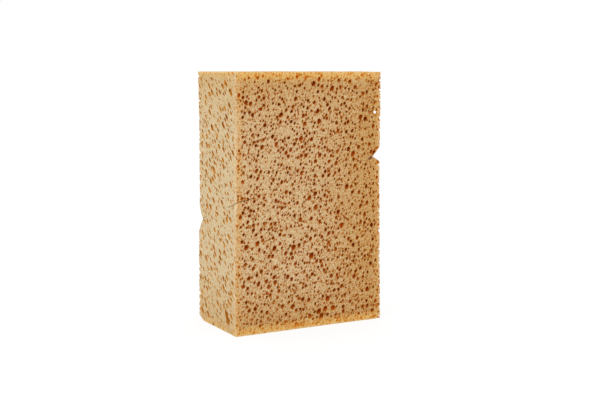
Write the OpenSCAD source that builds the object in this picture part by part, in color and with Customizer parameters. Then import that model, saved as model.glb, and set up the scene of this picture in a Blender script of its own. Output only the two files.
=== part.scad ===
// Coarse-pored cleaning sponge: one upright block of cut synthetic foam.
//
// The block stands on one of its small faces. Its broad faces look to the front
// (-Y) and the back (+Y). The origin is the middle of the bottom face, +Z is up.
// The foam is one piece, so the whole sponge is one solid: a block, less the
// pores that were opened when it was cut, and less the places where its upright
// edges are pinched or worn.

/* [Block] */
// Width of the block, left to right
block_w = 128; // [110:1:150]
// Depth of the block, front to back
block_d = 68; // [55:1:85]
// Height of the block as it stands
block_h = 200; // [170:1:230]
// Length of each edge that is worn off at the back left bottom corner
worn_corner = 5; // [3:0.5:10]

/* [Pores] */
// Pores tried on each square centimetre of surface
pore_tries = 2; // [0.4:0.1:2.4]
// Radius of the widest pores
pore_r_max = 2.4; // [1.8:0.1:2.6]
// Radius of the narrowest pores
pore_r_min = 0.9; // [0.7:0.1:1.2]
// How quickly the pores go from wide to narrow, 1 being evenly
pore_falloff = 2.5; // [1:0.5:5]
// Thinnest wall between two pores
pore_wall = 0.35; // [0.25:0.05:1]
// Seed for the scatter of the pores
pore_seed = 11; // [1:1:60]

/* [Pinches] */
// Height of the ring of pinches at the middle of the block
ring_level = 105; // [90:1:120]
// Rise of the ring towards the right, for each mm of width
ring_rise_right = 0.23; // [0:0.01:0.3]
// Fall of the ring towards the back, for each mm of depth
ring_fall_back = 0.33; // [0:0.01:0.4]
// Depth of the notch in the front right edge
notch_depth = 8; // [4:0.5:10]
// Height of the notch above its bottom
notch_above = 8.4; // [5:0.2:12]
// Height of the notch below its bottom
notch_below = 4.8; // [3:0.2:12]
// Depth of the dent in the back left edge
dent_depth = 4; // [2:0.5:6]
// Height of the dent above its bottom, and below it
dent_reach = 15; // [8:1:20]
// Depth of the crease in the front left edge
crease_depth = 1.5; // [1:0.5:3]
// Height of the crease above its bottom, and below it
crease_reach = 4; // [2:0.5:8]

/* [Hidden] */

left = -block_w / 2;
right = block_w / 2;
front = -block_d / 2;
back = block_d / 2;

// Each face as [corner, first side, second side].
faces = [
    [[left, front, 0], [block_w, 0, 0], [0, 0, block_h]],
    [[left, back, 0], [block_w, 0, 0], [0, 0, block_h]],
    [[left, front, 0], [0, block_d, 0], [0, 0, block_h]],
    [[right, front, 0], [0, block_d, 0], [0, 0, block_h]],
    [[left, front, block_h], [block_w, 0, 0], [0, block_d, 0]],
    [[left, front, 0], [block_w, 0, 0], [0, block_d, 0]],
];

// The foam's cells are drawn out along the way it rose, so every pore leans this way.
function unit(v) = v / norm(v);
rise = unit([0.42, 0.62, 0.66]);

// A pore is [middle of its mouth, radius, half its length]. It is just long enough
// for both of its slanted ends to clear the face.
pore_spare = 1;
function lean(face) = abs(unit(cross(face[1], face[2])) * rise);
function half_length(face, r) = r * sqrt(1 / pow(lean(face), 2) - 1) + pore_spare;

// The number of pores tried on a face, and the radius of pore i of n: first the
// few wide ones, then ever narrower.
function tries(face) = round(pore_tries * norm(cross(face[1], face[2])) / 100);
function radius(i, n) = pore_r_min + (pore_r_max - pore_r_min) * pow(1 - i / n, pore_falloff);

// Where on its face pore i of n is tried, as two shares of the sides: an even
// spread, in steps of the plastic number, that a random throw of a third of the
// usual gap loosens.
plastic = 1.324718;
loose = 0.35;
function spot(i, n, throws) = [
    for (k = [0, 1])
        let (even = 0.5 + i / pow(plastic, k + 1), thrown = loose * throws[2 * i + k] / sqrt(n))
        (even + thrown) % 1
];

// Two pores are apart when their parallel axes are, or else their ends.
function apart(a, b) =
    norm(cross(a[0] - b[0], rise)) > a[1] + b[1] + pore_wall
    || abs((a[0] - b[0]) * rise) > a[2] + b[2] + pore_wall;
function is_free(pore, others) = len([for (o = others) if (!apart(pore, o)) 1]) == 0;

// Tries the pores of one face in turn, and keeps those that touch no other.
function scatter(face, throws, n, pores, i = 0) =
    i == n ? pores
    : let (
        share = spot(i, n, throws),
        r = radius(i, n),
        pore = [face[0] + share[0] * face[1] + share[1] * face[2], r, half_length(face, r)]
    )
    scatter(face, throws, n, is_free(pore, pores) ? concat(pores, [pore]) : pores, i + 1);

// Goes over the faces one by one.
function all_pores(f = 0, pores = []) =
    f == len(faces) ? pores
    : let (n = tries(faces[f]), throws = rands(-1, 1, 2 * n, pore_seed + f))
    all_pores(f + 1, scatter(faces[f], throws, n, pores));

// Each pore as a slanted bore that ends inside the foam.
module pores() {
    for (pore = all_pores())
        translate(pore[0])
            rotate([0, acos(rise.z), atan2(rise.y, rise.x)])
            cylinder(h = 2 * pore[2], r = pore[1], center = true, $fn = 20);
}

// The height at which the ring of pinches passes an upright edge.
function ring_height(x, y) = ring_level + ring_rise_right * x - ring_fall_back * y;

// A groove pressed into the upright edge at x, y. Its flanks start at its bottom
// and round over into the edge at the given heights above and below it.
module pinch(x, y, depth, above, below) {
    roundness = 1.4;
    steps = 8;
    past_edge = 1.25;
    flank = [for (i = [0:steps]) past_edge * i / steps];
    outline = concat(
        [for (t = flank) [depth * (t - 1), above * pow(t, roundness)]],
        [for (i = [steps:-1:1]) [depth * (flank[i] - 1), -below * pow(flank[i], roundness)]]
    );
    translate([x, y, ring_height(x, y)])
        rotate([0, 0, atan2(sign(y), sign(x))])
        rotate([90, 0, 0])
        linear_extrude(height = 4 * depth, center = true)
        polygon(outline);
}

// The worn corner is a slanted cut that takes the same length off its three edges.
module corner_wear(x, y, length) {
    slope = acos(1 / sqrt(3));
    translate([x, y, 0])
        rotate([0, 0, atan2(-sign(y), -sign(x))])
        rotate([0, slope, 0])
        translate([0, 0, length / sqrt(3) - length])
        cylinder(h = 2 * length, r = 2 * length, center = true, $fn = 4);
}

module foam_block() {
    color("burlywood") difference() {
        translate([left, front, 0]) cube([block_w, block_d, block_h]);
        pores();
        pinch(right, front, notch_depth, notch_above, notch_below);
        pinch(left, back, dent_depth, dent_reach, dent_reach);
        pinch(left, front, crease_depth, crease_reach, crease_reach);
        corner_wear(left, back, worn_corner);
    }
}

foam_block();
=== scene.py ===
# %% [markdown]
# # A coarse-pored cleaning sponge
#
# The real thing is one block of synthetic foam. The foam rose in a long bun, and its
# bubbles were drawn out as it rose. A saw then cut the bun into blocks, so every face
# shows the bubbles sliced open. We build it the same way: a plain block first, then
# thousands of stretched bubbles taken out of it, and only then the knocks and
# pinches that the block picked up when it was packed.

# %% Load the frame
import math

import bmesh
import bpy
import numpy as np
from mathutils import Matrix, Vector, noise


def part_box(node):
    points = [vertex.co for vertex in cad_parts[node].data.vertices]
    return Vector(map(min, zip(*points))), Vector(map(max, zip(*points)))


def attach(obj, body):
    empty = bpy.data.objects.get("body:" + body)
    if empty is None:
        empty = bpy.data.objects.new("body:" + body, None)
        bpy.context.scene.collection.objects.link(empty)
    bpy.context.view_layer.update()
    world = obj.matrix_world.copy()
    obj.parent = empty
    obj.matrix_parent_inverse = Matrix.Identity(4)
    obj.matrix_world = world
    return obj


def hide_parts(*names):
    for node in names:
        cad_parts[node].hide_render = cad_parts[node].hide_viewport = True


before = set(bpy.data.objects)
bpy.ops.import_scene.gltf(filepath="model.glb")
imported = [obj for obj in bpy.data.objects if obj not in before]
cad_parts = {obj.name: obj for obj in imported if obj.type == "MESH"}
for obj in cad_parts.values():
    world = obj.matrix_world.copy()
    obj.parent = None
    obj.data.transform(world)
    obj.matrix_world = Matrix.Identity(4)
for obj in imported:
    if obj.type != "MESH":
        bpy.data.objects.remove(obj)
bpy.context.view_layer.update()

mm = 0.001
low, high = (np.array(corner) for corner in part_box("foam_block"))
size = high - low
middle = (low + high) / 2
SEED = 11
rng = np.random.default_rng(SEED)
print("block in mm:", np.round(size / mm, 1))

# %% [markdown]
# ## Where the viewer stands
#
# The block is seen from its front left, a little under a metre away. The eye is level with
# the top face, so that face shows only as a line. A camera could be aimed with a Track To
# constraint, but the matrix is written out here: its three columns are the directions
# that the picture's right, up and back point to, which keeps the aim and the small
# sideways shift in one place.

# %% Camera
AZIMUTH = math.radians(-29.0)
ELEVATION = math.radians(6.94)
DISTANCE = 0.858
SIDE_STEP = 8.3 * mm
DROP = 2.7 * mm
FOCAL_LENGTH = 63.9

back_way = Vector((
    math.sin(AZIMUTH) * math.cos(ELEVATION),
    -math.cos(AZIMUTH) * math.cos(ELEVATION),
    math.sin(ELEVATION),
))
right_way = Vector((math.cos(AZIMUTH), math.sin(AZIMUTH), 0))
up_way = back_way.cross(right_way)
eye = Vector(middle) + back_way * DISTANCE + right_way * SIDE_STEP - up_way * DROP

lens = bpy.data.cameras.new("viewer")
lens.lens = FOCAL_LENGTH
viewer = bpy.data.objects.new("viewer", lens)
turned = Matrix((right_way, up_way, back_way)).transposed().to_4x4()
viewer.matrix_world = Matrix.Translation(eye) @ turned
bpy.context.scene.collection.objects.link(viewer)
bpy.context.scene.camera = viewer
print("eye at", [round(c, 3) for c in eye])

# %% [markdown]
# ## Knocks and pinches
#
# The block was tied or packed tightly at some time: three of its upright edges are
# pressed in, all on one slanted ring. A soft block bends there, it isn't cut, so the
# points near the edge are pushed inwards along the edge's diagonal, and the push dies
# away smoothly. The ring is worked out first, because the foam has no wide pores just
# where it was pressed flat. The pushing itself waits until the bubbles are out, and so
# does the wear of one corner at the foot.

# %% Where the edges are pressed
RING_LEVEL = 107.2 * mm
RING_RISE_RIGHT = 0.24
RING_FALL_BACK = 0.30
# A pinch is felt this many times its own depth in from the edge, and it presses bubbles
# flat where the push is more than this share of its depth.
FELT_REACH = 2.2
FLAT_FROM = 0.3


def above_ring(places):
    """How high each point lies above the ring."""
    return places[:, 2] - RING_LEVEL - RING_RISE_RIGHT * places[:, 0] + RING_FALL_BACK * places[:, 1]


class Pinch:
    """A groove pressed into the upright edge on one side in x and in y."""

    def __init__(self, side_x, side_y, depth, above, below, sharpness=1.4):
        self.edge = np.array([side_x * size[0] / 2, side_y * size[1] / 2])
        self.inward = -np.array([side_x, side_y]) / math.sqrt(2)
        self.depth, self.above, self.below, self.sharpness = depth, above, below, sharpness

    def measure(self, places):
        """How far each point lies in from the edge, and how far the edge is pushed in there."""
        height = above_ring(places)
        share = np.where(height > 0, height / self.above, -height / self.below).clip(0, 1)
        push = self.depth * (1 - share ** (1 / self.sharpness))
        return (places[:, :2] - self.edge) @ self.inward, push

    def is_close(self, places):
        """Whether each point lies where the push is felt."""
        inset, push = self.measure(places)
        return (inset < FELT_REACH * self.depth) & (push > 0)

    def press(self, places):
        """Moves the points. The edge goes in by the whole push, and points twice as deep stay."""
        inset, push = self.measure(places)
        near = (inset < 2 * push) & (push > 0)
        moved = push[near] + inset[near] ** 2 / (4 * push[near])
        places[near, :2] += np.outer(moved - inset[near], self.inward)

    def flattens(self, spot):
        """Whether a bubble at this spot would be pressed flat."""
        inset, push = self.measure(np.array([spot]))
        return push[0] > FLAT_FROM * self.depth and inset[0] < self.depth


PINCHES = (
    Pinch(1, -1, 8 * mm, 7.8 * mm, 4.0 * mm),
    Pinch(-1, 1, 4 * mm, 12 * mm, 9 * mm),
    Pinch(-1, -1, 1.5 * mm, 4 * mm, 4 * mm),
)
# How far the worn back left foot corner goes along each axis.
WORN = np.array([5, 9, 3.5]) * mm
corner = np.array([low[0], high[1], low[2]])


def wear(places):
    """0 where the worn corner ends, and 1 at its tip."""
    return 1 - (np.abs(places - corner) / WORN).sum(axis=1)


print("ring in mm above the foot, front left and front right:",
      [round(float(-above_ring(np.array([[x, low[1], 0]]))[0] / mm), 1) for x in (low[0], high[0])])

# %% [markdown]
# ## The bubbles
#
# A bubble in this foam is an egg two and a half times as long as it is wide, and all the eggs
# point the same way. That is why the same foam shows round holes on its front and
# slanted slits on its side. Finding free places for eggs is awkward, so we squeeze
# space along the eggs' direction until they are balls again. In that cell space two
# bubbles are apart when their middles are further apart than their radii together.
#
# The bubbles could be a particle system or a geometry-nodes scatter. A dart-throwing
# loop is used here, because it serves the edges first, then puts the wide bubbles under
# the faces, and then fills in with ever smaller ones. It is seeded, so it gives the same
# bubbles each run.

# %% Cell space
RISE = np.array([0.28, 0.68, 0.68])
RISE /= np.linalg.norm(RISE)
STRETCH = 2.5


def squeezed(points):
    """Points in cell space, where every bubble is a ball."""
    along = points @ RISE
    return points - np.multiply.outer(along * (1 - 1 / STRETCH), RISE)


def stretched(points):
    """Points brought back from cell space, round the origin."""
    return points + np.multiply.outer((points @ RISE) * (STRETCH - 1), RISE)


# %% Scatter the bubbles
# Least and greatest radius of each class, and how many there are for each square
# centimetre of surface.
BUBBLES = (
    (1.5 * mm, 2.0 * mm, 0.17),
    (1.15 * mm, 1.5 * mm, 0.85),
    (0.8 * mm, 1.15 * mm, 2.0),
    (0.55 * mm, 0.8 * mm, 1.9),
)
# Bubbles close under the upright edges, for each centimetre of edge, and under the level
# ones, where they are small.
UPRIGHT_EDGE_BUBBLES = (0.6 * mm, 1.4 * mm, 1.4)
LEVEL_EDGE_BUBBLES = (0.5 * mm, 0.9 * mm, 0.25)
# How far below the face a bubble's middle lies, as a share of its reach that way: for
# one under a face, for one that opens a shallow pore (a small one, or one under an end
# face, or this close to the top or the foot), and for one under an edge.
FACE_DEPTH = (-0.25, 0.65)
SHALLOW_DEPTH = (-0.4, 0.4)
SHALLOW_BAND = 8 * mm
EDGE_DEPTH = (-0.2, 1.0)
# A face's own bubbles keep off the edges by this share of their reach, and off the level
# edges by a few millimetres more, where the skin holds together.
KEEP_OFF = 0.6
SOLID_RIM = np.array([0, 0, 2.8 * mm])
RIM_SPREAD = (0.5, 1.7)
# End faces have fewer open bubbles than the others, and fewest of the small ones.
END_SHARE = 0.66
SMALL_END_SHARE = 0.5
# On the left end face nothing opens this close to the front left edge.
CLEAN_STRIP = 3 * mm
# On the front, small bubbles come nearer to the left edge than the others, in their reach.
SMALL_OFF_LEFT = 0.4
WIDE_OFF_LEFT = 0.8
SMALL = 0.95 * mm
# How far bubbles may run into each other, in radii.
CLOSENESS = 1.0
# How many throws each wanted bubble is given.
THROWS = 10
BUCKET = 2.1 * BUBBLES[0][1]
FACES = [(axis, end) for axis in range(3) for end in (0, 1)]
face_areas = np.array([np.prod(np.delete(size, axis)) for axis, end in FACES])


class Bubbles:
    """Bubbles so far, with a grid of buckets in cell space to find the near ones."""

    def __init__(self):
        self.middles, self.radii, self.cells, self.buckets = [], [], [], {}

    def key(self, cell):
        return tuple(int(math.floor(c / BUCKET)) for c in cell)

    def touching(self, cell, radius, slack):
        """Which bubbles a new one at this cell would meet."""
        x, y, z = self.key(cell)
        for i in (x - 1, x, x + 1):
            for j in (y - 1, y, y + 1):
                for k in (z - 1, z, z + 1):
                    for n in self.buckets.get((i, j, k), ()):
                        if math.dist(cell, self.cells[n]) < slack * (radius + self.radii[n]):
                            yield n

    def add(self, middle, radius, cell):
        self.buckets.setdefault(self.key(cell), []).append(len(self.cells))
        self.middles.append(middle)
        self.radii.append(radius)
        self.cells.append(cell)


def reach(radius, axis):
    """How far a stretched bubble reaches along an axis."""
    return radius * math.sqrt(1 + (STRETCH**2 - 1) * RISE[axis] ** 2)


def under_face(radius, axis, end, depths):
    """A coordinate at which a bubble lies just under the face at this end of the axis."""
    depth = rng.uniform(*depths) * reach(radius, axis)
    return (low[axis] + depth) if end == 0 else (high[axis] - depth)


def throw_at_face(radius):
    """A random place for a bubble that opens one of the six faces."""
    chances = face_areas.copy()
    chances[:2] *= END_SHARE if radius > SMALL else SMALL_END_SHARE
    axis, end = FACES[rng.choice(len(FACES), p=chances / chances.sum())]
    margin = SOLID_RIM * rng.uniform(*RIM_SPREAD) + [KEEP_OFF * reach(radius, i) for i in range(3)]
    near = margin.copy()
    if end == 0 and axis == 0:
        near[1] = CLEAN_STRIP + reach(radius, 1)
    elif end == 0 and axis == 1:
        near[0] = (SMALL_OFF_LEFT if radius < SMALL else WIDE_OFF_LEFT) * reach(radius, 0)
    spot = low + near + rng.random(3) * (size - near - margin)
    shallow = axis == 0 or radius < SMALL or min(spot[2] - low[2], high[2] - spot[2]) < SHALLOW_BAND
    spot[axis] = under_face(radius, axis, end, SHALLOW_DEPTH if shallow else FACE_DEPTH)
    return spot


def throw_at_edge(radius, along):
    """A random place under an edge along an axis, but not the clean front left one."""
    spot = low + rng.random(3) * size
    ends = rng.integers(2, size=3)
    while along == 2 and not ends[:2].any():
        ends = rng.integers(2, size=3)
    for axis in range(3):
        if axis != along:
            spot[axis] = under_face(radius, axis, ends[axis], EDGE_DEPTH)
    return spot


def throw_at_upright_edge(radius):
    """The same, for an upright edge."""
    return throw_at_edge(radius, 2)


def throw_at_level_edge(radius):
    """The same, for a level edge."""
    return throw_at_edge(radius, rng.choice(2, p=size[:2] / size[:2].sum()))


def fill(bubbles, least, greatest, wanted, throw):
    """Throws bubbles until enough have found a free place."""
    placed = tried = 0
    while placed < wanted and tried < THROWS * wanted:
        tried += 1
        radius = rng.uniform(least, greatest)
        spot = throw(radius)
        cell = tuple(squeezed(spot))
        free = not any(True for n in bubbles.touching(cell, radius, CLOSENESS))
        if free and not any(pinch.flattens(spot) for pinch in PINCHES):
            bubbles.add(spot, radius, cell)
            placed += 1
    print(f"{placed} of {wanted} bubbles of {least / mm:.1f} to {greatest / mm:.1f} mm")


# %% Fill the foam: the edges first, then the faces from wide to small
bubbles = Bubbles()
least, greatest, per_cm = UPRIGHT_EDGE_BUBBLES
fill(bubbles, least, greatest, int(per_cm * 4 * size[2] * 100), throw_at_upright_edge)
least, greatest, per_cm = LEVEL_EDGE_BUBBLES
fill(bubbles, least, greatest, int(per_cm * 4 * size[:2].sum() * 100), throw_at_level_edge)
for least, greatest, per_cm2 in BUBBLES:
    fill(bubbles, least, greatest, int(per_cm2 * face_areas.sum() * 1e4), throw_at_face)

# %% [markdown]
# ## Taking the bubbles out
#
# A Boolean modifier with the Manifold solver cuts thousands of bubbles in a second or
# two, but it wants a cutter whose parts don't run into each other. So the bubbles are
# dealt into a few rounds, each bubble in the first round where it touches no other.
# Each bubble is a low ball with its points pushed in and out a little: foam cells
# aren't perfect, and a rough ball with few faces looks more like one than a smooth one.

# %% Deal the bubbles into rounds
ROUND_SLACK = 1.25
rounds = []
for n in range(len(bubbles.cells)):
    met = set(bubbles.touching(bubbles.cells[n], bubbles.radii[n], ROUND_SLACK))
    for members in rounds:
        if not met & members:
            members.add(n)
            break
    else:
        rounds.append({n})
print("bubbles in each round:", [len(members) for members in rounds])


# %% Ball shapes
def ball(detail):
    """Points and triangles of a ball: an octahedron at 0, and finer icospheres above it."""
    shape = bmesh.new()
    if detail == 0:
        bmesh.ops.create_cube(shape, size=1)
        centres = [face.calc_center_median().normalized() for face in shape.faces]
        shape.clear()
        for centre in centres:
            shape.verts.new(centre)
        bmesh.ops.convex_hull(shape, input=shape.verts)
    else:
        bmesh.ops.create_icosphere(shape, subdivisions=detail, radius=1)
    shape.verts.index_update()
    points = np.array([v.co[:] for v in shape.verts])
    triangles = np.array([[v.index for v in face.verts] for face in shape.faces])
    shape.free()
    return points, triangles


BALLS = [ball(detail) for detail in (0, 1, 2)]
# How far a bubble's points are pushed in or out, and where that is cut off, in spreads.
ROUGHNESS = 0.12
MOST_SPREADS = 1.5
# From which radius a bubble gets the second and the third ball, and how much larger each
# ball is made, because a coarse one holds less.
DETAIL_FROM = (0.7 * mm, 1.15 * mm)
GROWTH = (1.2, 1.08, 1.0)


def random_turn():
    """A random rotation matrix."""
    q = rng.normal(size=4)
    w, x, y, z = q / np.linalg.norm(q)
    return np.array([
        [1 - 2 * (y * y + z * z), 2 * (x * y - z * w), 2 * (x * z + y * w)],
        [2 * (x * y + z * w), 1 - 2 * (x * x + z * z), 2 * (y * z - x * w)],
        [2 * (x * z - y * w), 2 * (y * z + x * w), 1 - 2 * (x * x + y * y)],
    ])


def bubble_mesh(n):
    """One rough bubble: finer for a wide one, and a little larger where it is coarse."""
    radius = bubbles.radii[n]
    detail = sum(radius > least for least in DETAIL_FROM)
    points, triangles = BALLS[detail]
    push = 1 + ROUGHNESS * np.clip(rng.normal(size=(len(points), 1)), -MOST_SPREADS, MOST_SPREADS)
    points = points @ random_turn().T * push * radius * GROWTH[detail]
    return stretched(points) + bubbles.middles[n], triangles


# %% Build the plain block and carve it
def mesh_object(name, points, polygons):
    """A new object from points and polygons."""
    mesh = bpy.data.meshes.new(name)
    mesh.from_pydata(points.tolist(), [], polygons.tolist())
    piece = bpy.data.objects.new(name, mesh)
    bpy.context.scene.collection.objects.link(piece)
    return piece


def plain_block(name, spacing):
    """The sawn block, with a grid of cuts so that it can bend later."""
    shape = bmesh.new()
    bmesh.ops.create_cube(shape, size=1)
    shape.transform(Matrix.Translation(middle) @ Matrix.Diagonal((*size, 1)))
    for axis in range(3):
        steps = round(size[axis] / spacing)
        for step in range(1, steps):
            place = Vector(low)
            place[axis] += size[axis] * step / steps
            way = Vector(axis == i for i in range(3))
            everything = shape.verts[:] + shape.edges[:] + shape.faces[:]
            bmesh.ops.bisect_plane(shape, geom=everything, plane_co=place, plane_no=way)
    mesh = bpy.data.meshes.new(name)
    shape.to_mesh(mesh)
    shape.free()
    piece = bpy.data.objects.new(name, mesh)
    bpy.context.scene.collection.objects.link(piece)
    return piece


def apply_modifiers(piece):
    """Puts the result of a piece's modifiers into its mesh."""
    graph = bpy.context.evaluated_depsgraph_get()
    piece.data = bpy.data.meshes.new_from_object(piece.evaluated_get(graph), depsgraph=graph)
    piece.modifiers.clear()


def carve(piece, cutter):
    """Takes the cutter out of the piece, and throws the cutter away."""
    cut = piece.modifiers.new("carve", "BOOLEAN")
    cut.operation = "DIFFERENCE"
    cut.solver = "MANIFOLD"
    cut.object = cutter
    apply_modifiers(piece)
    bpy.data.objects.remove(cutter)


def egg(middle, radius, along, half_length):
    """An egg that runs its own way, as one object."""
    points, triangles = BALLS[2]
    along = np.array(along) / np.linalg.norm(along)
    longer = np.multiply.outer(points @ along * (half_length / radius - 1), along)
    return mesh_object("egg", (points + longer) * radius + middle, triangles)


BEND_SPACING = 9 * mm
foam = plain_block("sponge_foam", BEND_SPACING)
for members in rounds:
    points, triangles, count = [], [], 0
    for n in sorted(members):
        some_points, some_triangles = bubble_mesh(n)
        points.append(some_points)
        triangles.append(some_triangles + count)
        count += len(some_points)
    carve(foam, mesh_object("bubbles", np.concatenate(points), np.concatenate(triangles)))
    print(len(members), "bubbles out,", len(foam.data.polygons), "faces")

# One pore near the front right edge runs out through the side, so that light shows in it,
# and a long slit lies low on the left end face.
THROUGH = dict(
    middle=np.array([high[0] - 2.8 * mm, low[1] + 4.4 * mm, 168 * mm]),
    radius=1.35 * mm,
    along=(0.54, 0.84, -0.04),
    half_length=10 * mm,
)
SLIT = dict(
    middle=np.array([low[0] + 0.9 * mm, low[1] + 15.5 * mm, 12 * mm]),
    radius=2.4 * mm,
    along=(0.0, 0.5, 0.87),
    half_length=7.5 * mm,
)
for hole in (THROUGH, SLIT):
    carve(foam, egg(**hole))

# %% [markdown]
# ## Clean up
#
# The cuts can leave crumbs that hang on nothing. A real crumb falls off, so only the
# largest connected piece stays. The cuts also leave many needless points on the flat
# faces. The Decimate modifier takes those out first, because removing them changes the
# shape least, and it keeps the mesh closed.

# %% Keep one piece, in triangles
shape = bmesh.new()
shape.from_mesh(foam.data)
bmesh.ops.triangulate(shape, faces=shape.faces)
unseen = set(shape.verts)
largest = []
while unseen:
    island = [unseen.pop()]
    for vert in island:
        for edge in vert.link_edges:
            other = edge.other_vert(vert)
            if other in unseen:
                unseen.remove(other)
                island.append(other)
    if len(island) > len(largest):
        largest = island
kept = set(largest)
bmesh.ops.delete(shape, geom=[v for v in shape.verts if v not in kept], context="VERTS")
shape.to_mesh(foam.data)
shape.free()
print(len(foam.data.polygons), "triangles")

# %% Spend the triangles where the shape needs them
TRIANGLES = 174000
thin = foam.modifiers.new("thin", "DECIMATE")
thin.ratio = min(1, TRIANGLES / len(foam.data.polygons))
apply_modifiers(foam)
print(len(foam.data.polygons), "triangles after thinning")

# %% Give the pressed places more points
LONGEST_NEAR_PINCH = 1.0 * mm
# How many places are looked at along an edge, and how often the edges are halved.
LOOKS_ALONG_EDGE = 9
HALVINGS = 5
# The wear is felt a little beyond where it ends.
WEAR_FELT_FROM = -0.2


def all_places(mesh):
    """The points of a mesh as one array."""
    flat = np.empty(3 * len(mesh.vertices))
    mesh.vertices.foreach_get("co", flat)
    return flat.reshape(-1, 3)


def halve_long_edges(is_close):
    """Halves the long edges that run through a close place, and says how many there were."""
    places = all_places(foam.data)
    ends = np.empty(2 * len(foam.data.edges), dtype=int)
    foam.data.edges.foreach_get("vertices", ends)
    first, second = places[ends[::2]], places[ends[1::2]]
    close = np.zeros(len(first), dtype=bool)
    for share in np.linspace(0, 1, LOOKS_ALONG_EDGE):
        close |= is_close(first + share * (second - first))
    chosen = close & (np.linalg.norm(second - first, axis=1) > LONGEST_NEAR_PINCH)
    shape = bmesh.new()
    shape.from_mesh(foam.data)
    shape.edges.ensure_lookup_table()
    bmesh.ops.subdivide_edges(shape, edges=[shape.edges[n] for n in np.flatnonzero(chosen)], cuts=1)
    bmesh.ops.triangulate(shape, faces=[face for face in shape.faces if len(face.verts) > 3])
    shape.to_mesh(foam.data)
    shape.free()
    return int(chosen.sum())


def is_worn(places):
    """Whether each point lies where the wear is felt."""
    return wear(places) > WEAR_FELT_FROM


for is_close in [pinch.is_close for pinch in PINCHES] + [is_worn]:
    halved = [halve_long_edges(is_close) for turn in range(HALVINGS)]
    print("long edges halved in each turn:", halved)
foam.data.validate()
print(len(foam.data.polygons), "triangles with the pinched places finer")

# %% [markdown]
# ## Remember where each point lies
#
# The block is still perfectly straight at this moment, so it is easy to read off how deep
# a point lies below the sawn face, how far it is from the nearest level and upright edge,
# whether it belongs to an end face, and how high it lies above the ring. These numbers are
# stored on the points as attributes. Later they place the painted light and shade: the
# orange of scattered light and the darker shade inside the pores, the light painted where
# it shines through the edges, the painted sheen that makes the end faces paler, and the
# painted shade in the crease.

# %% Store the depth, the distance from an edge, and the face
def store(name, values):
    """Keeps one number for each point of the foam."""
    mark = foam.data.attributes.new(name, "FLOAT", "POINT")
    mark.data.foreach_set("value", values)


places = all_places(foam.data)
to_faces = np.minimum(places - low, high - places).clip(0) / mm
depth = to_faces.min(axis=1)
store("pore_depth", depth)
store("edge_distance", np.hypot(to_faces[:, 2], to_faces[:, :2].min(axis=1)))
store("side_distance", np.hypot(to_faces[:, 0], to_faces[:, 1]))
store("end_face", np.clip(0.3 + to_faces[:, 1:].min(axis=1) - to_faces[:, 0], 0, 1))
store("ring_height", above_ring(places) / mm)
print("deepest pore in mm:", round(depth.max(), 2))

# %% [markdown]
# ## Bend and wear the block
#
# A real block is never as straight as the saw left it. Its edges are pinched on the ring,
# its back left foot corner is rubbed off, its own weight spreads it a little at the foot,
# and the saw wandered by a fraction of a millimetre. Each of these only moves points, so
# the pores come along and are squeezed with the rest. A lattice could do the bending, but
# a few formulas keep each effect apart and easy to tune.

# %% Press the edges in and wear the corner off
for pinch in PINCHES:
    pinch.press(places)
places += np.outer(wear(places).clip(0) / 3, WORN * (1, -1, 1))

# %% Let the block slump and lean
# A soft block stands a little wider at its foot, and the front left edge leans.
SPREAD = 0.9 * mm
SPREAD_HEIGHT = 110 * mm
LEAN = 0.85 * mm
from_middle = (places - middle) / (size / 2)
slump = SPREAD * (1 - places[:, 2] / SPREAD_HEIGHT).clip(0)
front_left = (1 - from_middle[:, 0]) * (1 - from_middle[:, 1]) / 4
places[:, :2] += from_middle[:, :2] * slump[:, None]
places[:, 0] += LEAN * from_middle[:, 2] * front_left

# %% Let the sawn faces wander
WANDER = 0.5 * mm
WANDER_SCALE = 45 * mm
GRAIN = 0.12 * mm
GRAIN_SCALE = 2.5 * mm
FLAT_FOOT = 1 * mm
# Without a seed, Blender's noise vectors start from the clock and differ in each run.
noise.seed_set(SEED)
for n, place in enumerate(places):
    spot = Vector(place)
    slow = noise.noise_vector(spot / WANDER_SCALE)
    quick = noise.noise_vector(spot / GRAIN_SCALE)
    shift = WANDER * slow + GRAIN * quick
    if place[2] < FLAT_FOOT:
        shift.z = 0
    places[n] += shift
foam.data.vertices.foreach_set("co", places.ravel())
foam.data.update()
foam.data.shade_smooth()
foam.data.set_sharp_from_angle(angle=math.radians(48))

# %% [markdown]
# ## The look of the foam
#
# Cut foam is dull and slightly see-through: light enters the thin walls and comes out
# more orange. Much of that light, and much of the shade, is painted into the colour here.
# Its skin is pale ochre, mottled, and full of pores too small to model, so these are
# painted: a brown rim with a darker middle of painted shade, and a dent in the bump. The
# modelled pores go from the painted orange of scattered light to a burnt brown of painted
# shade as they deepen. The edges get painted light where it shines through them, and
# painted highlights. The end faces get a paler painted sheen, the skin gets painted shade
# where that sheen falls off, and the crease gets painted shade. All of it is made from
# the place in the foam, so that it runs through the block.


# %% Node helpers
def linear(red, green, blue):
    """A colour written as it looks on a screen, in the linear values that shaders use."""
    return tuple((c / 255 / 12.92 if c <= 10 else ((c / 255 + 0.055) / 1.055) ** 2.4)
                 for c in (red, green, blue)) + (1.0,)


def put(tree, kind, links=None, **settings):
    """Adds a node. Its settings are its own fields, and links are what its sockets hold."""
    node = tree.nodes.new("ShaderNode" + kind)
    for field, value in settings.items():
        setattr(node, field, value)
    for socket, value in (links or {}).items():
        if isinstance(value, bpy.types.NodeSocket):
            tree.links.new(value, node.inputs[socket])
        else:
            node.inputs[socket].default_value = value
    return node


def maths(tree, operation, *values):
    """A math node on sockets or numbers, and its result."""
    return put(tree, "Math", dict(enumerate(values)), operation=operation).outputs[0]


def blend(tree, share, first, second):
    """A colour between two others."""
    return put(tree, "Mix", {0: share, 6: first, 7: second}, data_type="RGBA").outputs[2]


def fade(tree, value, start, end):
    """0 at start, 1 at end, and smooth between them."""
    return put(tree, "MapRange", {0: value, 1: start, 2: end, 3: 0.0, 4: 1.0},
               interpolation_type="SMOOTHSTEP").outputs[0]


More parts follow.
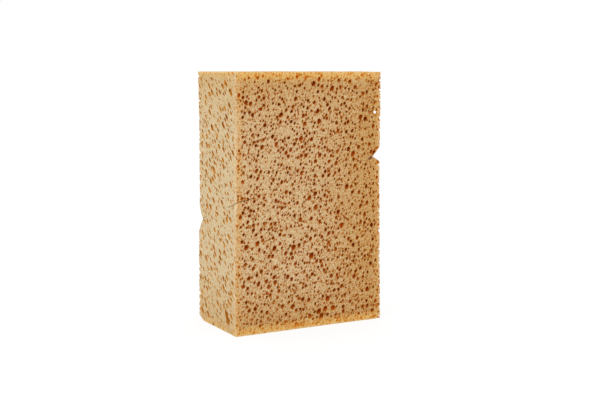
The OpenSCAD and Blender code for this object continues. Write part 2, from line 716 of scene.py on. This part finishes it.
# %% Fine pores, as a node group
def new_group(name, inputs, outputs):
    """An empty node group with named sockets, and its input and output nodes."""
    tree = bpy.data.node_groups.new(name, "ShaderNodeTree")
    for label, kind in inputs:
        tree.interface.new_socket(label, in_out="INPUT", socket_type=kind)
    for label, kind in outputs:
        tree.interface.new_socket(label, in_out="OUTPUT", socket_type=kind)
    return tree, tree.nodes.new("NodeGroupInput"), tree.nodes.new("NodeGroupOutput")


def fine_pores_group():
    """Small pores from Voronoi balls in cell space: a mask for them, and one for their core."""
    tree, given, result = new_group(
        "fine_pores",
        [("Place", "NodeSocketVector"), ("Spacing", "NodeSocketFloat"), ("Opening", "NodeSocketFloat")],
        [("Mask", "NodeSocketFloat"), ("Core", "NodeSocketFloat")],
    )
    along = put(tree, "VectorMath", {0: given.outputs["Place"], 1: RISE}, operation="DOT_PRODUCT")
    shrink = maths(tree, "MULTIPLY", along.outputs["Value"], 1 - 1 / STRETCH)
    extra = put(tree, "VectorMath", {0: RISE, "Scale": shrink}, operation="SCALE")
    cell = put(tree, "VectorMath", {0: given.outputs["Place"], 1: extra.outputs[0]},
               operation="SUBTRACT")
    per_metre = maths(tree, "DIVIDE", 1.0, given.outputs["Spacing"])
    balls = put(tree, "TexVoronoi", {"Vector": cell.outputs[0], "Scale": per_metre, "Randomness": 1.0})
    luck = put(tree, "SeparateColor", {0: balls.outputs["Color"]}).outputs[0]
    rim = maths(tree, "MULTIPLY", given.outputs["Opening"], maths(tree, "ADD", 0.45, luck))
    outwards = maths(tree, "DIVIDE", balls.outputs["Distance"], rim)
    tree.links.new(fade(tree, outwards, 1.0, 0.6), result.inputs["Mask"])
    tree.links.new(fade(tree, outwards, 0.85, 0.25), result.inputs["Core"])
    return tree


fine_pores = fine_pores_group()


# %% The foam material
SKIN = linear(213, 188, 144)
# Painted sheen: the skin of the end faces is paler, as the key light leaves it.
SKIN_SHEEN_ON_ENDS = linear(210, 193, 157)
# Painted shade: the skin where the key light's sheen is gone, darker and more orange.
SKIN_WITHOUT_SHEEN = linear(196, 156, 92)
# Painted light: the glow colours, and the skin beside the upright edges, stand for light shining through
# the foam's thin edges.
SKIN_GLOW = linear(224, 187, 112)
SKIN_SIDE_GLOW = linear(208, 164, 98)
# Painted highlight along the edges. The same pale colour also gives the mottle its pale flecks.
PALE_FLECK_AND_HIGHLIGHT = linear(230, 211, 172)
# The orange of light scattered at pore rims, painted: it rims the painted pores and shows where the
# walls are thin. It also colours the mottle's darker spots.
RIM_LIGHT_AND_SPOTS = linear(184, 111, 28)
RIM_LIT_ON_ENDS = linear(198, 148, 76)
# Painted light and shade in the modelled pores: the orange of light scattered in their walls, and the
# burnt brown of shade deeper in.
WALL_SCATTERED_LIGHT = linear(182, 103, 20)
WALL_LIT_ON_ENDS = linear(204, 142, 44)
WALL_GLOW = linear(244, 166, 56)
DEEP_SHADE = linear(186, 78, 5)
DEEP_LIGHTER_SHADE_ON_ENDS = linear(196, 116, 14)
# Painted shade in the middles of the painted pores.
PIT_SHADE = linear(148, 74, 14)
PIT_LIGHTER_SHADE_ON_ENDS = linear(180, 124, 50)
PIT_GLOW = linear(190, 104, 14)
RIM_GLOW = linear(216, 140, 40)
DEEP_GLOW = linear(252, 130, 10)
# Painted shade in the crease of the pinch, lighter on the end faces.
CREASE_SHADE = linear(112, 54, 12)
CREASE_LIGHTER_SHADE_ON_ENDS = linear(144, 98, 50)


def foam_material():
    """Pale skin with fine pores, and painted light and shade: orange scattered light in the pore walls,
    shade that darkens them with depth, sheen, highlights and glowing edges.
    """
    look = bpy.data.materials.new("ochre_foam")
    look.use_nodes = True
    tree = look.node_tree
    tree.nodes.clear()
    place = put(tree, "TexCoord").outputs["Object"]
    across, back, up = put(tree, "SeparateXYZ", {0: place}).outputs
    mottle = put(tree, "TexNoise", {
        "Vector": place, "Scale": 1000.0, "Detail": 1.0, "Roughness": 0.6,
    }).outputs[0]
    clouds = put(tree, "TexNoise", {
        "Vector": place, "Scale": 220.0, "Detail": 2.0, "Roughness": 0.6,
    }).outputs[0]
    small = put(tree, "Group", {"Place": place, "Spacing": 1.2 * mm, "Opening": 0.36},
                node_tree=fine_pores)
    depth = put(tree, "Attribute", attribute_name="pore_depth").outputs["Fac"]
    edge = put(tree, "Attribute", attribute_name="edge_distance").outputs["Fac"]
    side = put(tree, "Attribute", attribute_name="side_distance").outputs["Fac"]
    end = put(tree, "Attribute", attribute_name="end_face").outputs["Fac"]
    ring = put(tree, "Attribute", attribute_name="ring_height").outputs["Fac"]
    # Painted light bleeding through thin walls: the inside occlusion finds where the foam is thin.
    inner = put(tree, "AmbientOcclusion", {"Distance": 1.0 * mm},
                inside=True, only_local=True, samples=8)
    off_edges = fade(tree, maths(tree, "MINIMUM", edge, side), 0.3, 1.8)
    thin = maths(tree, "MULTIPLY", maths(tree, "SUBTRACT", 1.0, inner.outputs["AO"]), off_edges)

    # Painted shade: the skin turns darker and more orange towards the right, the top and the foot, where
    # the key light's sheen falls off. It does so less on the end faces.
    off_ends = maths(tree, "SUBTRACT", 1.0, maths(tree, "MULTIPLY", end, 0.5))
    from_middle = maths(tree, "ABSOLUTE", maths(tree, "SUBTRACT", up, middle[2]))
    shade_to_top_and_foot = fade(tree, from_middle, 0.25 * size[2], 0.55 * size[2])
    shade_to_right = fade(tree, across, -0.1 * size[0], 0.5 * size[0])
    painted_shade_mask = maths(tree, "MULTIPLY", maths(tree, "MAXIMUM", shade_to_top_and_foot, shade_to_right), off_ends)
    # Painted light shining through the foam near the level edges at the top and the foot, weaker on the
    # end faces. The painted pores open a little wider there.
    glow = maths(tree, "MULTIPLY", fade(tree, edge, 9.0, 1.2),
                 maths(tree, "SUBTRACT", 1.0, maths(tree, "MULTIPLY", end, 0.85)))
    opening = maths(tree, "ADD", 0.34, maths(tree, "MULTIPLY", glow, 0.16))
    middling = put(tree, "Group", {"Place": place, "Spacing": 2.3 * mm, "Opening": opening},
                   node_tree=fine_pores)
    # Painted highlights: pale bands on the end faces beside their front upright edges, and beside the
    # upright edges on the right.
    highlight_left = maths(tree, "MULTIPLY", fade(tree, side, 5.5, 0.5),
                      maths(tree, "MULTIPLY", fade(tree, back, 0.01, -0.01),
                            maths(tree, "MULTIPLY", end, 0.9)))
    highlight_right = maths(tree, "MULTIPLY", fade(tree, side, 4.0, 0.0),
                       maths(tree, "MULTIPLY", fade(tree, across, 0.0, 0.02), 0.6))
    side_highlight = maths(tree, "MAXIMUM", highlight_left, highlight_right)
    # Painted light shining through beside the upright edges, on the front and back faces only.
    side_glow = maths(tree, "MULTIPLY", fade(tree, side, 6.5, 1.5), maths(tree, "SUBTRACT", 0.55,
                      maths(tree, "MULTIPLY", end, 0.55)))
    lit_through = maths(tree, "MAXIMUM", glow, side_glow)

    # Painted light: the pores' colours have lighter copies on the end faces, where the key light falls
    # into them, and glowing copies near the edges, where light shines through.
    wall_light = blend(tree, end, WALL_SCATTERED_LIGHT, WALL_LIT_ON_ENDS)
    wall_light = blend(tree, lit_through, wall_light, WALL_GLOW)
    deep_shade = blend(tree, end, DEEP_SHADE, DEEP_LIGHTER_SHADE_ON_ENDS)
    deep_shade = blend(tree, lit_through, deep_shade, DEEP_GLOW)
    pit_shade = blend(tree, end, PIT_SHADE, PIT_LIGHTER_SHADE_ON_ENDS)
    pit_shade = blend(tree, lit_through, pit_shade, PIT_GLOW)
    rim = blend(tree, end, RIM_LIGHT_AND_SPOTS, RIM_LIT_ON_ENDS)
    rim = blend(tree, lit_through, rim, RIM_GLOW)
    # Painted sheen of the key light: the end faces are paler.
    skin = blend(tree, end, SKIN, SKIN_SHEEN_ON_ENDS)
    # Painted shade where the key light's sheen falls off.
    skin = blend(tree, maths(tree, "MULTIPLY", painted_shade_mask, 0.9), skin, SKIN_WITHOUT_SHEEN)
    # Painted light shining through beside the upright edges and near the level edges.
    skin = blend(tree, side_glow, skin, SKIN_SIDE_GLOW)
    skin = blend(tree, glow, skin, SKIN_GLOW)
    # Painted highlight: a pale line along the level edges, and the pale bands beside the upright edges.
    skin = blend(tree, maths(tree, "MAXIMUM", fade(tree, edge, 2.0, 0.2), side_highlight), skin, PALE_FLECK_AND_HIGHLIGHT)
    skin = blend(tree, maths(tree, "MULTIPLY", fade(tree, mottle, 0.52, 0.75), 0.7), skin, PALE_FLECK_AND_HIGHLIGHT)
    spots = maths(tree, "SUBTRACT", 0.75, maths(tree, "MULTIPLY", end, 0.3))
    skin = blend(tree, maths(tree, "MULTIPLY", fade(tree, mottle, 0.55, 0.25), spots), skin, rim)
    # The painted pores' rims take the painted orange of scattered light.
    holes = maths(tree, "MAXIMUM", middling.outputs[0], maths(tree, "MULTIPLY", small.outputs[0], 0.9))
    skin = blend(tree, maths(tree, "MULTIPLY", holes, maths(tree, "SUBTRACT", 0.9,
                 maths(tree, "MULTIPLY", end, 0.65))), skin, rim)
    # Painted shade: the middles of the painted pores are darker, as a hole's shade would be.
    cores = maths(tree, "MAXIMUM", middling.outputs[1], maths(tree, "MULTIPLY", small.outputs[1], 0.6))
    core = maths(tree, "MULTIPLY", cores,
                 maths(tree, "SUBTRACT", 0.95, maths(tree, "MULTIPLY", end, 0.3)))
    skin = blend(tree, core, skin, pit_shade)
    # Painted light: a glow right at the level edges.
    skin = blend(tree, maths(tree, "MULTIPLY", fade(tree, edge, 1.6, 0.2), 0.7), skin, SKIN_GLOW)
    # Painted light: orange where the foam is thin near the pore mouths, as light bleeds through the
    # walls.
    skin = blend(tree, maths(tree, "MULTIPLY", fade(tree, thin, 0.1, 0.9), 0.8), skin, rim)
    # Painted: the pore walls take the orange of scattered light at once, and the burnt brown of shade as
    # they go deeper.
    colour = blend(tree, fade(tree, depth, -0.05, 0.25), skin, wall_light)
    colour = blend(tree, fade(tree, depth, 0.4, 1.8), colour, deep_shade)
    # Painted shade along the pinch's ring near the upright edges. It reaches further in on the left,
    # where shade in the crease would fall.
    wobble = maths(tree, "MULTIPLY", maths(tree, "SUBTRACT", clouds, 0.5), 2.5)
    from_ring = maths(tree, "ABSOLUTE", maths(tree, "ADD", ring, wobble))
    longer = maths(tree, "MULTIPLY", fade(tree, across, 0.02, 0.0), 7.0)
    near_edge = fade(tree, maths(tree, "SUBTRACT", side, longer), 10.0, 6.0)
    crease = maths(tree, "MULTIPLY", fade(tree, from_ring, 0.6, 0.2), near_edge)
    crease_shade = blend(tree, end, CREASE_SHADE, CREASE_LIGHTER_SHADE_ON_ENDS)
    colour = blend(tree, maths(tree, "MULTIPLY", crease, 0.8), colour, crease_shade)

    hollows = maths(tree, "MAXIMUM", holes, maths(tree, "MULTIPLY", core, 2.0))
    hollows = maths(tree, "ADD", hollows, crease)
    relief = maths(tree, "SUBTRACT", maths(tree, "MULTIPLY", mottle, 0.3), hollows)
    bump = put(tree, "Bump", {"Height": relief, "Distance": 0.35 * mm, "Strength": 0.5})
    shader = put(tree, "BsdfPrincipled", {
        "Base Color": colour,
        "Roughness": 0.9,
        "Normal": bump.outputs[0],
        "Specular IOR Level": 0.1,
        "Subsurface Weight": 0.2,
        "Subsurface Radius": (1.0, 0.5, 0.25),
        "Subsurface Scale": 2.0 * mm,
    })
    out = put(tree, "OutputMaterial")
    tree.links.new(shader.outputs[0], out.inputs["Surface"])
    return look


foam.data.materials.clear()
foam.data.materials.append(foam_material())

# %% Tell the frame what the piece is
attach(foam, "root")
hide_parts("foam_block")

# %% [markdown]
# ## Floor and light
#
# The floor is plain and white. Near the block, a part of what the viewer sees of it is the
# lit floor itself, so that it takes the block's shadow. Further out it turns into a
# steady white that meets the background with no line between them.

# %% Floor
FLOOR_SIZE = 30.0
SHADOW_SHARE = 0.2
floor_mesh = bpy.data.meshes.new("floor")
half = FLOOR_SIZE / 2
corners = [(-half, -half, 0), (half, -half, 0), (half, half, 0), (-half, half, 0)]
floor_mesh.from_pydata(corners, [], [(0, 1, 2, 3)])
floor = bpy.data.objects.new("floor", floor_mesh)
bpy.context.scene.collection.objects.link(floor)
paint = bpy.data.materials.new("white_floor")
paint.use_nodes = True
tree = paint.node_tree
tree.nodes.clear()
place = put(tree, "TexCoord").outputs["Object"]
away = put(tree, "VectorMath", {0: place}, operation="LENGTH").outputs["Value"]
lit = put(tree, "BsdfDiffuse", {"Color": (0.9, 0.9, 0.9, 1)})
steady = put(tree, "Emission", {"Color": (1, 1, 1, 1), "Strength": 1.05})
rays = put(tree, "LightPath")
white = maths(tree, "SUBTRACT", 1.0, maths(tree, "MULTIPLY", fade(tree, away, 0.45, 0.15), SHADOW_SHARE))
mixed = put(tree, "MixShader", {0: maths(tree, "MULTIPLY", rays.outputs["Is Camera Ray"], white),
                                1: lit.outputs[0], 2: steady.outputs[0]})
tree.links.new(mixed.outputs[0], put(tree, "OutputMaterial").inputs["Surface"])
floor_mesh.materials.append(paint)


# %% Lights
def soft_box(name, place, width, height, power):
    """A rectangular lamp that faces the middle of the block."""
    lamp = bpy.data.lights.new(name, "AREA")
    lamp.shape = "RECTANGLE"
    lamp.size, lamp.size_y = width, height
    lamp.energy = power
    holder = bpy.data.objects.new(name, lamp)
    holder.location = place
    holder.rotation_euler = (Vector(middle) - Vector(place)).to_track_quat("-Z", "Y").to_euler()
    bpy.context.scene.collection.objects.link(holder)
    return holder


soft_box("left_box", (-1.6, -0.7, 0.5), 1.2, 1.2, 6.6)
soft_box("front_box", (0.2, -2.0, 0.65), 1.4, 1.0, 4.2)
soft_box("top_box", (0.1, 0.3, 1.6), 1.4, 1.4, 6)

world = bpy.data.worlds.new("studio")
bpy.context.scene.world = world
world.use_nodes = True
tree = world.node_tree
tree.nodes.clear()
rays = put(tree, "LightPath")
air = put(tree, "Background", {"Color": (1, 1, 1, 1), "Strength": 0.83})
backdrop = put(tree, "Background", {"Color": (1, 1, 1, 1), "Strength": 1.0})
mixed = put(tree, "MixShader", {
    0: rays.outputs["Is Camera Ray"], 1: air.outputs[0], 2: backdrop.outputs[0],
})
tree.links.new(mixed.outputs[0], put(tree, "OutputWorld").inputs["Surface"])
bpy.context.scene.view_settings.view_transform = "Standard"
